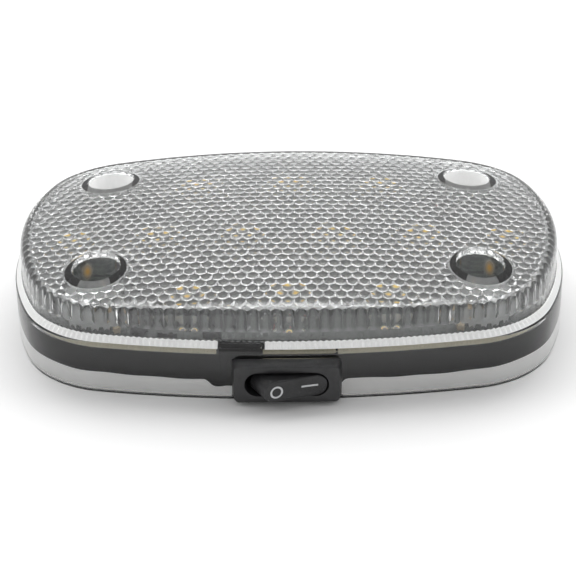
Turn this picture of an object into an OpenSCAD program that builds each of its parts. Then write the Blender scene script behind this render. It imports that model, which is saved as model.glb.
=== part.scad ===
// Surface-mount interior dome light: one clear fluted moulding over a potted circuit board
// with twelve LEDs, switched by a small rocker in the front skirt.
// The lamp lies on its back rim, lens up. The origin is the middle of the four screw holes.

/* [Housing] */
// Length of the moulding over its bowed ends
body_l = 148.6; // [140:0.1:170]
// Depth of the moulding over its bowed sides
body_w = 96.8; // [92:0.1:110]
// Radius of the outline at the corners
corner_r = 26.4; // [22:0.1:30]
// Bow radius of the two long sides
side_bow_r = 270; // [220:5:400]
// Bow radius of the two ends
end_bow_r = 74; // [68:1:110]
// Overall height at the middle of the crown
crown_h = 30.1; // [28:0.1:36]
// Crown radius along the length
crown_long_r = 594; // [450:2:900]
// Crown radius across the depth
crown_cross_r = 242; // [220:2:400]
// Thickness of the lens roof
roof_t = 2.4; // [1.8:0.1:3]
// Thickness of the dome wall
dome_t = 2.3; // [1.8:0.1:2.8]
// Radius between dome wall and crown
dome_edge_r = 2.5; // [1.5:0.1:3]

/* [Skirt] */
// Height of the skirt at its outer edge
skirt_h = 14.5; // [14:0.1:18]
// Thickness of the skirt
skirt_t = 2.5; // [2:0.1:3]
// Width of the sloping ledge between skirt and dome
ledge_w = 1.9; // [1.5:0.1:3]
// Rise of the ledge towards the dome
ledge_rise = 1.5; // [0.8:0.1:2]
// Thickness of the ledge at its outer edge
ledge_t = 1.1; // [0.9:0.1:1.6]

/* [Flutes] */
// Pitch of the flutes inside the dome wall
flute_pitch = 3; // [2.8:0.1:5]
// Radius of one flute
flute_r = 1.5; // [1.3:0.05:2]
// How far a flute stands out of the wall
flute_stand = 0.9; // [0.5:0.05:1]

/* [Screw holes] */
// Distance of the screw holes from the ends of the lamp
hole_end = 24.3; // [22:0.1:28]
// Distance of the screw holes from the sides of the lamp
hole_side = 23.4; // [22:0.1:26]
// Diameter of the counterbore
cbore_d = 12.5; // [10:0.1:13]
// Diameter of the screw hole
screw_d = 5.2; // [4:0.1:6]
// Height of the counterbore's floor above the mounting surface
cbore_floor = 16.6; // [16:0.1:19]
// Wall of the screw column round the counterbore
column_t = 1.9; // [1.5:0.1:2.2]
// Outer diameter of the boss below the board
boss_d = 11; // [9:0.1:12]
// Diameter of the roof's round patch that carries a screw column
collar_d = 22; // [18:0.5:24]

/* [Circuit board and LEDs] */
// Thickness of the circuit board
board_t = 1.2; // [0.8:0.1:1.6]
// Gap between the board's edge and the skirt
board_gap = 0.25; // [0.2:0.05:0.5]
// Side of an LED package
led_side = 5; // [3.5:0.1:5.5]
// Height of an LED package
led_h = 1.6; // [1:0.1:2]
// Distance of the outer LED rows from the sides of the lamp
led_row_side = 20.4; // [19:0.1:23]
// Distance of the corner LEDs from the screw holes, along the length
led_outer_in = 24; // [22:0.5:27]
// Distance of the inner LEDs of the middle row from the centre
led_inner_x = 12.5; // [9:0.5:13]
// Distance of the last LEDs of the middle row from the ends of the lamp
led_end = 15.8; // [14:0.1:17]

/* [Potting] */
// Height of the resin's lower face above the mounting surface
resin_z = 5.4; // [4:0.1:7]
// Gap left by the resin's shrinkage
shrink_gap = 0.05; // [0.02:0.01:0.1]

/* [Switch] */
// Place of the switch along the length
switch_x = -0.5; // [-6:0.1:6]
// Height of the switch's middle
switch_z = 6.5; // [6.2:0.1:6.6]
// Width of the bezel at its back
bezel_w = 28; // [27:0.1:30]
// Height of the bezel
bezel_h = 11.1; // [10.6:0.1:11.6]
// How far the bezel stands out of the skirt
bezel_out = 3.3; // [2.5:0.1:4]
// Length of the obround opening for the rocker
opening_l = 21.3; // [21:0.1:22]
// Height of the opening
opening_h = 6.7; // [6.5:0.1:7]
// Length of the rocker's face
rocker_l = 16.7; // [14:0.1:17]
// Height of the rocker
rocker_h = 5.9; // [5:0.1:6.2]
// Distance from the rocker's pivot to its face
rocker_reach = 8.2; // [7.5:0.1:8.4]
// Full throw of the rocker in degrees
rocker_throw = 34; // [24:1:36]
// Diameter of the rocker's trunnions
trunnion_d = 2.4; // [1.8:0.1:2.6]
// Running clearance round the trunnions
trunnion_gap = 0.05; // [0.03:0.01:0.1]
// Full swing of the contact blade in degrees
blade_swing = 18; // [14:1:18]

/* [Hidden] */
arc_step = 5;
over = 1;
led_names = [for (i = [1:12]) str("led_", i < 10 ? "0" : "", i)];
phosphor_names = [for (i = [1:12]) str("phosphor_", i < 10 ? "0" : "", i)];
column_names = [for (i = [1:4]) str("screw_column_", i)];

// Corner arc centre, where the side and end bows, each reduced by the corner radius, cross
function corner_y(x) = (body_w/2 - side_bow_r) + sqrt(pow(side_bow_r - corner_r, 2) - x*x);
function corner_x(y) = (body_l/2 - end_bow_r) + sqrt(pow(end_bow_r - corner_r, 2) - y*y);
function settle(x, n) = n == 0 ? x : settle(corner_x(corner_y(x)), n - 1);
corner_cx = settle(body_l/2 - corner_r - 1.5, 24);
corner_cy = corner_y(corner_cx);
side_angle = asin(corner_cx/(side_bow_r - corner_r));
end_angle = asin(corner_cy/(end_bow_r - corner_r));

// One arc of the outline: centre, radius less the inset, and the angles it runs between
function arc_points(c, r, a0, a1, step) =
    let (n = ceil((a1 - a0)/step))
    [for (i = [0:n - 1]) let (a = a0 + (a1 - a0)*i/n) [c[0] + r*cos(a), c[1] + r*sin(a)]];
function outline(inset) = concat(
    arc_points([body_l/2 - end_bow_r, 0], end_bow_r - inset, -end_angle, end_angle, arc_step*0.8),
    arc_points([corner_cx, corner_cy], corner_r - inset, end_angle, 90 - side_angle, arc_step*1.4),
    arc_points([0, body_w/2 - side_bow_r], side_bow_r - inset, 90 - side_angle, 90 + side_angle, arc_step*0.5),
    arc_points([-corner_cx, corner_cy], corner_r - inset, 90 + side_angle, 180 - end_angle, arc_step*1.4),
    arc_points([end_bow_r - body_l/2, 0], end_bow_r - inset, 180 - end_angle, 180 + end_angle, arc_step*0.8),
    arc_points([-corner_cx, -corner_cy], corner_r - inset, 180 + end_angle, 270 - side_angle, arc_step*1.4),
    arc_points([0, side_bow_r - body_w/2], side_bow_r - inset, 270 - side_angle, 270 + side_angle, arc_step*0.5),
    arc_points([corner_cx, -corner_cy], corner_r - inset, 270 + side_angle, 360 - end_angle, arc_step*1.4)
);

// Height of the crown at a point, lowered by a depth
function crown_z(x, y, depth) = crown_h - depth - x*x/(2*crown_long_r) - y*y/(2*crown_cross_r);

ledge_z = skirt_h - ledge_t;
foot_z = skirt_h + ledge_rise;
wall_in = ledge_w + dome_t;
board_z = ledge_z - board_t;
column_d = cbore_d + 2*column_t;
hole_dx = body_l - 2*hole_end;
hole_dy = body_w - 2*hole_side;
holes = [for (sx = [-1, 1], sy = [-1, 1]) [sx*hole_dx/2, sy*hole_dy/2]];

module at_holes() {
    for (h = holes) translate([h[0], h[1], 0]) children();
}

module slab(inset, z0, z1) {
    translate([0, 0, z0]) linear_extrude(z1 - z0) polygon(outline(inset));
}

// Points of the outline drawn in towards the middle, lifted onto the crown lowered by a depth
crown_shares = [0.86, 0.7, 0.54, 0.38, 0.2];
function crown_ring(inset, share, depth) =
    [for (p = outline(inset)) [p[0]*share, p[1]*share, crown_z(p[0]*share, p[1]*share, depth)]];

// A closed skin over rings of equal count, from a flat base ring up to a point on the axis
module skin(rings, tip) {
    n = len(rings[0]);
    count = len(rings);
    polyhedron(
        concat([for (r = rings, p = r) p], [tip]),
        concat(
            [[for (i = [0:n - 1]) i]],
            [for (k = [0:count - 2], i = [0:n - 1]) let (j = (i + 1)%n) [k*n + j, k*n + i, (k + 1)*n + i]],
            [for (k = [0:count - 2], i = [0:n - 1]) let (j = (i + 1)%n) [k*n + j, (k + 1)*n + i, (k + 1)*n + j]],
            [for (i = [0:n - 1]) let (j = (i + 1)%n) [(count - 1)*n + j, (count - 1)*n + i, count*n]]
        )
    );
}
function level(points, z) = [for (p = points) [p[0], p[1], z]];

// Everything under the crown surface, lowered by a depth, from a height up
module under_crown(depth, z0) {
    edge = outline(wall_in - over);
    skin(concat(
        [level(edge, z0)],
        [crown_ring(wall_in - over, 1, depth)],
        [for (share = crown_shares) crown_ring(wall_in - over, share, depth)]
    ), [0, 0, crown_h - depth]);
}

// Outer form: skirt, sloping ledge, wall and a rounded edge that runs up into the crown
edge_steps = [0, 28, 56, 90];
module outer_skin() {
    edge = [for (a = edge_steps)
        [for (p = outline(ledge_w + dome_edge_r*(1 - cos(a))))
            [p[0], p[1], crown_z(p[0], p[1], dome_edge_r*(1 - sin(a)))]]];
    skin(concat(
        [level(outline(0), 0), level(outline(0), skirt_h), level(outline(ledge_w), foot_z)],
        edge,
        [for (share = crown_shares) crown_ring(ledge_w + dome_edge_r, share, 0)]
    ), [0, 0, crown_h]);
}

// Places along the dome's inner wall, one flute pitch apart
wall_line = outline(wall_in);
wall_sides = [for (i = [0:len(wall_line) - 1])
    norm(wall_line[(i + 1)%len(wall_line)] - wall_line[i])];
function run_to(i) = i == 0 ? 0 : run_to(i - 1) + wall_sides[i - 1];
wall_runs = [for (i = [0:len(wall_line)]) run_to(i)];
wall_length = wall_runs[len(wall_line)];
flute_count = floor(wall_length/flute_pitch);
function flute_at(s) =
    let (i = max([for (k = [0:len(wall_line) - 1]) if (wall_runs[k] <= s) k]),
         a = wall_line[i],
         b = wall_line[(i + 1)%len(wall_line)],
         d = (b - a)/norm(b - a),
         out = [d[1], -d[0]])
    a + d*(s - wall_runs[i]) + out*(flute_r - flute_stand);
module fluted_outline() {
    difference() {
        polygon(wall_line);
        for (k = [0:flute_count - 1]) translate(flute_at((k + 0.5)*wall_length/flute_count)) circle(flute_r, $fn = 12);
    }
}

// Switch frame: x along the bezel, y into the lamp from the rocker's pivot, z up
face_y = -body_w/2 - bezel_out;
pivot_depth = 5.5;
pivot_y = face_y + pivot_depth;
case_wall = 1;
case_roof = 1.15;
case_l = opening_l + 2*case_wall;
case_h = opening_h + 2*case_roof;
case_gap = 0.15;
case_back = 9.6;
land_cut = 0.5;
land_y = -body_w/2 + land_cut;
rocker_rest = rocker_throw/2;
blade_axis = 6.3;
blade_rest = blade_swing/2;
tail_end = 13;
tail_t = 0.8;
tail_h = 4;
rivet_x = 5.6;
rivet_d = 1.8;
module at_switch() {
    translate([switch_x, pivot_y, switch_z]) children();
}

// A box given by its middle in x and z and its two faces in y
module block(x, y0, y1, z, w, h) {
    translate([x - w/2, y0, z - h/2]) cube([w, y1 - y0, h]);
}

notch_x = -12.05;
notch_w = 12.4;
notch_depth = 4.6;
pocket_h = 0.8;
module notch_area(grow) {
    difference() {
        polygon(outline(skirt_t + board_gap - grow));
        polygon(outline(skirt_t + notch_depth + grow));
        translate([-body_l/2, -body_w/4]) square([body_l, body_w]);
        translate([-body_l, -body_w]) square([body_l + notch_x - notch_w/2 - grow, body_w]);
        translate([notch_x + notch_w/2 + grow, -body_w]) square([body_l, body_w]);
    }
}

module housing() {
    color("gainsboro", 0.5)
    difference() {
        outer_skin();
        slab(skirt_t, -over, ledge_z);
        intersection() {
            translate([0, 0, ledge_z - over]) linear_extrude(crown_h) fluted_outline();
            under_crown(roof_t, ledge_z - over);
        }
        at_holes() cylinder(h = crown_h + over, d = collar_d);
        at_switch() block(0, -pivot_depth - over, skirt_t + 4, 0, case_l + 2*case_gap, case_h + 2*case_gap);
        translate([switch_x, -body_w/2 - over, switch_z])
            block(0, 0, land_y + body_w/2 + over, 0, bezel_w + 2*case_gap, bezel_h + 2*case_gap);
        translate([0, 0, ledge_z - 0.1]) linear_extrude(pocket_h + 0.1) notch_area(shrink_gap);
    }
}

// One screw column of the moulding: a round patch of the roof, a counterbored tube below it
// and a narrower boss that stands on the mounting surface
seam = 0.01;
module screw_column(i) {
    color("gainsboro", 0.5)
    difference() {
        intersection() {
            outer_skin();
            translate(holes[i]) union() {
                difference() {
                    cylinder(h = crown_h + over, d = collar_d - 2*seam);
                    translate(-holes[i]) under_crown(roof_t, -over);
                }
                translate([0, 0, ledge_z]) cylinder(h = crown_h, d = column_d);
                cylinder(h = crown_h, d = boss_d);
            }
        }
        translate(holes[i]) {
            translate([0, 0, cbore_floor]) cylinder(h = crown_h, d = cbore_d);
            translate([0, 0, -over]) cylinder(h = crown_h, d = screw_d);
        }
    }
}

slot_w = 26;
slot_depth = 1.4;
wire_d = 1.6;
wire_y = pivot_y + tail_end - wire_d/2 - 0.1;
core_d = 0.8;
core_gap = 0.1;
wire_places = [[switch_x, wire_y], [switch_x - rivet_x, wire_y]];

// Slot in the board's edge over the switch, drawn in by a gap
module switch_slot(gap, z, h) {
    translate([switch_x - slot_w/2 + gap, -body_w/2, z]) cube([slot_w - 2*gap, skirt_t + slot_depth - gap, h]);
}

module circuit_board() {
    color("#1d2420")
    difference() {
        slab(skirt_t + board_gap, board_z, ledge_z);
        at_holes() translate([0, 0, board_z - over]) cylinder(h = board_t + 2*over, d = boss_d + 2*board_gap);
        translate([0, 0, board_z - over]) linear_extrude(board_t + 2*over) notch_area(shrink_gap);
        switch_slot(0, board_z - over, board_t + 2*over);
        for (w = wire_places) translate([w[0], w[1], board_z - over]) cylinder(h = board_t + 2*over, d = core_d + 2*core_gap);
    }
}

// Resin under the board, heaped up round the switch's case and oozed through the notch
heap_z = 3.1;
heap_lip = 0.6;
heap_back = pivot_y + tail_end + 1.2;
heap_line = [[-22, resin_z + over], [-20.5, resin_z], [-18.2, heap_z + 0.4], [-16.2, heap_z], [-13.4, heap_z + heap_lip],
             [13, heap_z + heap_lip], [14.2, heap_z + 0.4], [15.6, resin_z], [17, resin_z + over]];
module potting() {
    color("#17181a")
    difference() {
        union() {
            slab(skirt_t + shrink_gap, resin_z, board_z);
            intersection() {
                slab(skirt_t + shrink_gap, 0, board_z);
                translate([switch_x, heap_back, 0]) rotate([90, 0, 0]) linear_extrude(body_w) polygon(heap_line);
            }
            translate([0, 0, board_z - over]) linear_extrude(over + board_t + pocket_h - shrink_gap) notch_area(0);
            intersection() {
                slab(skirt_t + shrink_gap, resin_z, ledge_z - shrink_gap);
                switch_slot(shrink_gap, resin_z, skirt_h);
            }
        }
        at_holes() translate([0, 0, -over]) cylinder(h = skirt_h, d = boss_d + 2*shrink_gap);
        at_switch() block(0, -over, case_back + shrink_gap, 0, case_l + 2*shrink_gap, case_h + 2*shrink_gap);
        at_switch() for (x = [0, -rivet_x])
            block(x, case_back - over, tail_end + shrink_gap, 0, tail_t + 2*shrink_gap, tail_h + 2*shrink_gap);
        for (w = wire_places) translate([w[0], w[1], switch_z])
            cylinder(h = skirt_h, d = wire_d + 2*shrink_gap);
        translate([grommet_x, grommet_y, 0]) cylinder(h = grommet_top + shrink_gap, d = grommet_d + 2*shrink_gap);
    }
}

// LED places, counted along the front, middle and rear rows
led_row_dy = body_w/2 - led_row_side;
led_middle_dx = (body_l/2 - led_end - led_inner_x)/2;
led_outer_dx = hole_dx/2 - led_outer_in;
led_spots = concat(
    [for (i = [-1:1]) [i*led_outer_dx, -led_row_dy]],
    [for (s = [-1, 1], i = [0:2]) [s*(led_inner_x + i*led_middle_dx), 0]],
    [for (i = [-1:1]) [i*led_outer_dx, led_row_dy]]
);
phosphor_d = 4;
cup_depth = 0.6;
gel_gap = 0.02;
module at_led(i) {
    translate([led_spots[i][0], led_spots[i][1], ledge_z]) children();
}
module led(i) {
    color("ivory")
    at_led(i) difference() {
        translate([-led_side/2, -led_side/2, 0]) cube([led_side, led_side, led_h]);
        translate([0, 0, led_h - cup_depth]) cylinder(h = over, d = phosphor_d);
    }
}
module phosphor(i) {
    color("orange")
    at_led(i) translate([0, 0, led_h - cup_depth]) cylinder(h = cup_depth - 2*gel_gap, d = phosphor_d - 2*gel_gap);
}

// Chips stand on the board between the front wall and the left screw column.
// Each place counts from the left front screw hole: along the length, then towards the wall.
lead_w = 0.44;
lead_t = 0.3;
foot_t = 0.2;
chip_lift = 0.15;
module at_chip(place) {
    translate([-hole_dx/2 + place[0], -hole_dy/2 - place[1], ledge_z]) children();
}
module chip(size) {
    translate([-size[0]/2, -size[1]/2, 0]) cube(size);
}
// A moulded package with a row of bent legs along both long sides
module leaded_package(size, legs, leg_pitch) {
    translate([0, 0, chip_lift]) chip(size);
    for (i = [0:legs - 1], s = [-1, 1]) translate([(i - (legs - 1)/2)*leg_pitch, s*size[1]/2, 0]) {
        translate([0, s*0.4, 0]) chip([lead_w, 1.1, foot_t]);
        translate([0, s*lead_t*0.4, 0]) chip([lead_w, lead_t, size[2]*0.6]);
    }
}
driver_place = [19, 12];
driver_size = [4.9, 3.2, 1.5];
driver_legs = 4;
driver_pitch = 1.27;
bridge_place = [30.5, 12.4];
bridge_size = [4.7, 3.6, 2.2];
bridge_legs = 2;
bridge_pitch = 2.5;
suppressor_place = [11.5, 9.2];
suppressor_size = [4.3, 2.6, 2.3];
inductor_place = [8.5, -15];
inductor_side = 6;
flange_t = 0.6;
winding_d = 5.2;
winding_h = 1.8;
capacitor_place = [5.8, 8.6];
capacitor_size = [2, 3.2, 1.6];
resistor_place = [10, 7.4];
resistor_size = [3.2, 1.6, 0.55];
resistor_pitch = 4.4;
resistor_step = 3.4;
module driver_ic() {
    color("#2b2c2e") at_chip(driver_place) leaded_package(driver_size, driver_legs, driver_pitch);
}
module bridge_rectifier() {
    color("#2b2c2e") at_chip(bridge_place) leaded_package(bridge_size, bridge_legs, bridge_pitch);
}
module surge_suppressor() {
    color("#2b2c2e") at_chip(suppressor_place) chip(suppressor_size);
}
module power_inductor() {
    color("dimgray") at_chip(inductor_place) {
        chip([inductor_side, inductor_side, flange_t]);
        translate([0, 0, flange_t]) cylinder(h = winding_h, d = winding_d);
        translate([0, 0, flange_t + winding_h]) cylinder(h = flange_t, d = inductor_side);
    }
}
module filter_capacitors() {
    color("tan") for (s = [0, 1]) mirror([s, 0, 0]) at_chip(capacitor_place) chip(capacitor_size);
}
module ballast_resistors() {
    color("#303236") for (i = [0:5]) at_chip(resistor_place + [i*resistor_pitch + (i > 2 ? 2 : 0), i > 1 ? 0 : -resistor_step])
        chip(resistor_size);
}

// An obround plate lying in x and z, from depth y0 to y1
module obround(l, h, y0, y1) {
    translate([0, y1, 0]) rotate([90, 0, 0]) linear_extrude(y1 - y0) {
        square([l - h, h], center = true);
        for (s = [-1, 1]) translate([s*(l - h)/2, 0]) circle(h/2, $fn = 48);
    }
}
module rounded_plate(w, h, r, y0, y1) {
    translate([0, y1, 0]) rotate([90, 0, 0]) linear_extrude(y1 - y0) {
        square([w - 2*r, h], center = true);
        square([w, h - 2*r], center = true);
        for (sx = [-1, 1], sz = [-1, 1]) translate([sx*(w/2 - r), sz*(h/2 - r)]) circle(r, $fn = 32);
    }
}
bezel_taper = 0.6;
bezel_r = 1.9;
case_floor = 1.2;
tail_gap = 0.03;
bezel_edge = 0.4;
land_depth = land_y - pivot_y;
module switch_body() {
    color("#26272a")
    at_switch() difference() {
        union() {
            hull() {
                rounded_plate(bezel_w, bezel_h, bezel_r, land_depth - bezel_edge, land_depth - 0.02);
                rounded_plate(bezel_w - 2*bezel_taper, bezel_h - bezel_taper, bezel_r, -pivot_depth, bezel_edge - pivot_depth);
            }
            block(0, land_depth - over, case_back, 0, case_l, case_h);
        }
        obround(opening_l, opening_h, -pivot_depth - over, 0);
        block(0, -0.01, case_back - case_floor, 0, opening_l, opening_h);
        cylinder(h = case_h + over, d = trunnion_d + 2*trunnion_gap, center = true);
        for (x = [0, -rivet_x]) block(x, 0, case_back + over, 0, tail_t + 2*tail_gap, tail_h + 2*tail_gap);
    }
}

// Rocker at rest: the end with the ring stands out, the end with the bar is pressed in
rocker_skirt = 1.2;
rocker_flare = 1.7;
face_dip_r = 50;
post_d = 3.4;
post_end = 3.6;
plunger_d = 1.8;
plunger_tip = 5.25;
dip = rocker_l*rocker_l/(8*face_dip_r);
module rocker() {
    color("#202124")
    at_switch() rotate([0, 0, rocker_rest]) difference() {
        union() {
            hull() {
                obround(rocker_l, rocker_h, -rocker_reach, -rocker_reach + 0.3);
                obround(rocker_l + 2*rocker_flare, rocker_h, -rocker_skirt - 0.3, -rocker_skirt);
            }
            cylinder(h = rocker_h, d = 5, center = true);
            cylinder(h = case_h - 0.4, d = trunnion_d, center = true);
            rotate([-90, 0, 0]) cylinder(h = post_end, d = post_d);
        }
        translate([0, dip - rocker_reach - face_dip_r, 0]) cylinder(h = 2*rocker_h, r = face_dip_r, center = true, $fn = 180);
        rotate([-90, 0, 0]) translate([0, 0, -1.6]) cylinder(h = post_end + 3, d = plunger_d + 0.2);
    }
}

module plunger() {
    color("ivory")
    at_switch() rotate([0, 0, rocker_rest]) rotate([-90, 0, 0]) {
        translate([0, 0, 2.6]) cylinder(h = plunger_tip - plunger_d/2 - 2.6, d = plunger_d);
        translate([0, 0, plunger_tip - plunger_d/2]) sphere(d = plunger_d, $fn = 32);
    }
}

// Coil spring: a six-sided wire swept up a helix
spring_turns = 5;
spring_steps = 12;
spring_r = 0.72;
spring_wire = 0.15;
spring_from = -1.4;
spring_to = 2.4;
module plunger_spring() {
    n = spring_turns*spring_steps;
    points = [for (i = [0:n], k = [0:5])
        let (a = 360*i/spring_steps, b = 60*k, r = spring_r + spring_wire*cos(b))
        [r*cos(a), r*sin(a), spring_from + (spring_to - spring_from)*i/n + spring_wire*sin(b)]];
    color("silver")
    at_switch() rotate([0, 0, rocker_rest]) rotate([-90, 0, 0])
        polyhedron(points, concat(
            [[for (k = [0:5]) k]],
            [for (i = [0:n - 1], k = [0:5]) let (m = (k + 1)%6) [i*6 + k, (i + 1)*6 + k, (i + 1)*6 + m]],
            [for (i = [0:n - 1], k = [0:5]) let (m = (k + 1)%6) [i*6 + k, (i + 1)*6 + m, i*6 + m]],
            [[for (k = [5:-1:0]) n*6 + k]]
        ));
}

// Rocking blade: a dished middle that the plunger runs over, with a flat wing on each side
blade_t = 0.45;
blade_h = 4;
dish_half = 2.2;
dish_r = plunger_tip + 0.1;
blade_reach = 6.6;
wing_d = sqrt(dish_r*dish_r - dish_half*dish_half);
module contact_blade() {
    color("goldenrod")
    at_switch() translate([0, blade_axis, 0]) rotate([0, 0, -blade_rest]) translate([0, -blade_axis, 0]) {
        translate([0, 0, -blade_h/2]) linear_extrude(blade_h) {
            intersection() {
                difference() {
                    circle(dish_r + blade_t, $fn = 96);
                    circle(dish_r, $fn = 96);
                }
                translate([-dish_half, 0]) square([2*dish_half, 2*dish_r]);
            }
            for (s = [-1, 1])
                polygon([[s*(dish_half - 0.05), wing_d + 0.03], [s*(dish_half + 0.8), wing_d + 0.1], [s*blade_reach, dish_r],
                         [s*blade_reach, dish_r + blade_t], [s*(dish_half + 0.8), wing_d + 0.1 + blade_t + 0.05],
                         [s*(dish_half - 0.05), wing_d + blade_t]]);
        }
        translate([-rivet_x, dish_r + 0.2, 0]) rotate([-90, 0, 0]) cylinder(h = 0.5, d = rivet_d);
    }
}
ridge_r = 0.42;
module terminal_common() {
    color("silver") at_switch() {
        translate([0, blade_axis, 0]) cylinder(h = tail_h, r = ridge_r, center = true);
        block(0, blade_axis, tail_end, 0, tail_t, tail_h);
    }
}
module terminal_switched() {
    color("silver") at_switch() {
        block(-rivet_x, 7.5, 7.9, 0, 2.8, tail_h);
        block(-rivet_x, 7.8, tail_end, 0, tail_t, tail_h);
        translate([-rivet_x, 7.25, 0]) rotate([-90, 0, 0]) cylinder(h = 0.4, d = rivet_d);
    }
}

// A short insulated wire from a terminal's tail up to the board, its core through the board
module wire(k) {
    translate([wire_places[k][0], wire_places[k][1], switch_z + tail_h/2])
        cylinder(h = board_z - switch_z - tail_h/2, d = wire_d);
    translate([wire_places[k][0], wire_places[k][1], board_z - 0.1])
        cylinder(h = board_t + 0.9, d = core_d);
}
module wire_feed() {
    color("firebrick") wire(0);
}
module wire_return() {
    color("#303030") wire(1);
}
module solder_joints() {
    color("lightgray") for (w = wire_places) translate([w[0], w[1], ledge_z]) difference() {
        cylinder(h = 0.7, d1 = 2.2, d2 = 1.2);
        translate([0, 0, -over]) cylinder(h = 3*over, d = core_d);
    }
}

// Rubber grommet set in the resin, where the supply lead enters from behind
grommet_x = 30;
grommet_y = 8;
grommet_d = 9;
grommet_top = 9;
grommet_bore = 5.2;
grommet_flange = 12.4;
flange_h = 1.55;
grommet_foot = 3.8;
grommet_blind = 1;
module cable_grommet() {
    color("#1b1b1b") translate([grommet_x, grommet_y, 0]) difference() {
        union() {
            translate([0, 0, grommet_foot]) cylinder(h = grommet_top - grommet_foot, d = grommet_d);
            translate([0, 0, grommet_foot]) cylinder(h = flange_h, d = grommet_flange);
        }
        cylinder(h = grommet_top - grommet_blind, d = grommet_bore);
    }
}

housing();
for (i = [0:3]) screw_column(i);
circuit_board();
potting();
for (i = [0:11]) led(i);
for (i = [0:11]) phosphor(i);
driver_ic();
bridge_rectifier();
surge_suppressor();
power_inductor();
filter_capacitors();
ballast_resistors();
switch_body();
rocker();
plunger();
plunger_spring();
contact_blade();
terminal_common();
terminal_switched();
wire_feed();
wire_return();
solder_joints();
cable_grommet();
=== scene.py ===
import math

import bpy
import bmesh
import numpy as np
from mathutils import Matrix, Vector


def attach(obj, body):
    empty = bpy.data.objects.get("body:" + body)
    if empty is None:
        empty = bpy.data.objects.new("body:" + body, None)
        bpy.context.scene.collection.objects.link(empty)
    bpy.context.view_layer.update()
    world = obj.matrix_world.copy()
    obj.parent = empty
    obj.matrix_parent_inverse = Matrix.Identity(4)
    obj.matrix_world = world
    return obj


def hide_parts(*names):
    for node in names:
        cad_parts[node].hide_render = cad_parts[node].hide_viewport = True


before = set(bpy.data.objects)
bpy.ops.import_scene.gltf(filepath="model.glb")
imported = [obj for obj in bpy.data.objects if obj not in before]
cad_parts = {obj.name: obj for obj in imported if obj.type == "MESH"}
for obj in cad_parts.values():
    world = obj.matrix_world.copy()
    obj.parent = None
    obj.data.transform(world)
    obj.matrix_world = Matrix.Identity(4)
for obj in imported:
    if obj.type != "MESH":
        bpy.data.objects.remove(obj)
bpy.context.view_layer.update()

mm = 0.001
plasticIndex = 1.585
print("scene: frame loaded")


# shared helpers
def wrapMesh(name, points, faces, material=None, smoothAngle=30):
    # points in millimetres
    mesh = bpy.data.meshes.new(name)
    corners = [tuple(float(c)*mm for c in p) for p in points]
    mesh.from_pydata(corners, [], [tuple(int(i) for i in f) for f in faces])
    mesh.validate()
    mesh.update()
    piece = bpy.data.objects.new(name, mesh)
    bpy.context.scene.collection.objects.link(piece)
    if material:
        mesh.materials.append(material)
    mesh.shade_smooth()
    mesh.set_sharp_from_angle(angle=math.radians(smoothAngle))
    return piece


def ringFaces(count, rings):
    faces = []
    for k in range(rings - 1):
        for i in range(count):
            j = (i + 1) % count
            faces.append((k*count + i, k*count + j, (k + 1)*count + j, (k + 1)*count + i))
    return faces


def loftRings(name, rings, material=None, smoothAngle=30):
    # closed body through rings of equal count, listed so that the faces look outward
    count = len(rings[0])
    points = [p for ring in rings for p in ring]
    faces = ringFaces(count, len(rings))
    faces.append(tuple(reversed(range(count))))
    faces.append(tuple((len(rings) - 1)*count + i for i in range(count)))
    return wrapMesh(name, points, faces, material, smoothAngle)


def cut(piece, tool, operation="DIFFERENCE", solver="MANIFOLD"):
    # the faces that a tool leaves keep the tool's own finish
    if not tool.data.materials and piece.data.materials:
        tool.data.materials.append(piece.data.materials[0])
    step = piece.modifiers.new("cut", "BOOLEAN")
    step.operation = operation
    step.solver = solver
    step.material_mode = "TRANSFER"
    step.object = tool
    settle(piece)
    bpy.data.objects.remove(tool)


def settle(piece):
    # the modifiers' result becomes the piece's own mesh
    bpy.context.view_layer.update()
    graph = bpy.context.evaluated_depsgraph_get()
    fresh = bpy.data.meshes.new_from_object(piece.evaluated_get(graph))
    old = piece.data
    piece.modifiers.clear()
    piece.data = fresh
    fresh.name = piece.name
    bpy.data.meshes.remove(old)


def faceOut(piece):
    # every face of a closed body looks outward
    mesh = bmesh.new()
    mesh.from_mesh(piece.data)
    bmesh.ops.recalc_face_normals(mesh, faces=mesh.faces)
    mesh.to_mesh(piece.data)
    mesh.free()


def finishBands(piece, count, bands, material):
    # the faces between some of a loft's rings get a finish of their own
    piece.data.materials.append(material)
    for face in piece.data.polygons:
        if face.index//count in bands:
            face.material_index = len(piece.data.materials) - 1


def oneFinish(piece, material):
    mesh = piece.data
    mesh.materials.clear()
    mesh.materials.append(material)
    mesh.polygons.foreach_set("material_index", np.zeros(len(mesh.polygons), dtype=np.int32))


def nodeTree(name):
    # a new material, its node tree and its shader
    material = bpy.data.materials.new(name)
    material.use_nodes = True
    tree = material.node_tree
    shader = tree.nodes["Principled BSDF"]
    return material, tree, shader


def addNode(tree, kind, values=None, **settings):
    node = tree.nodes.new(kind)
    for key, value in settings.items():
        setattr(node, key, value)
    for key, value in (values or {}).items():
        node.inputs[key].default_value = value
    return node


def link(tree, source, target):
    tree.links.new(source, target)


def place(tree, scale=1000.0):
    # object coordinates in millimetres
    coordinates = addNode(tree, "ShaderNodeTexCoord")
    mapping = addNode(tree, "ShaderNodeMapping", {"Scale": (scale, scale, scale)})
    link(tree, coordinates.outputs["Object"], mapping.inputs["Vector"])
    return mapping.outputs["Vector"]


def noise(tree, vector, scale, detail=3.0, rough=0.5):
    node = addNode(tree, "ShaderNodeTexNoise", {"Scale": scale, "Detail": detail, "Roughness": rough})
    link(tree, vector, node.inputs["Vector"])
    return node.outputs["Fac"]


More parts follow.
